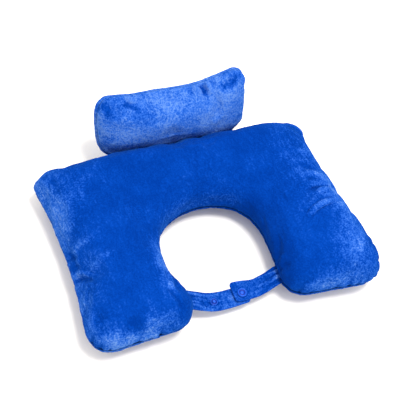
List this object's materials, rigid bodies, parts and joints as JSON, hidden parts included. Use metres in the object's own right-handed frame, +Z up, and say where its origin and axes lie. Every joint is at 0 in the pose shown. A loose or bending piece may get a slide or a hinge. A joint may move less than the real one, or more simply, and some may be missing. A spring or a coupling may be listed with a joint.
{
  "type": "neck pillow",
  "caption": "Filled U-shaped velour neck pillow lying flat, with a small headrest cushion sewn along its back and a strap across the open front that closes with plastic snaps.",
  "frame": {"origin": "middle of the pillow's outline seen from above, on the surface it lies on", "axes": "+X from the left arm to the right arm as seen in the picture, +Y from the open front towards the headrest, +Z up"},
  "size_m": [0.412, 0.3272, 0.1349],
  "materials": {
    "velour": "short-pile royal blue velour",
    "strap_velour": "short-pile royal blue velour, doubled and pressed flat",
    "snap_plastic": "moulded, satin gloss"
  },
  "bodies": {
    "root": {"u_cushion": "velour", "headrest_cushion": "velour", "strap_left": "strap_velour", "strap_right": "strap_velour", "snap_cap": "snap_plastic", "snap_stud": "snap_plastic"}
  },
  "joints": []
}
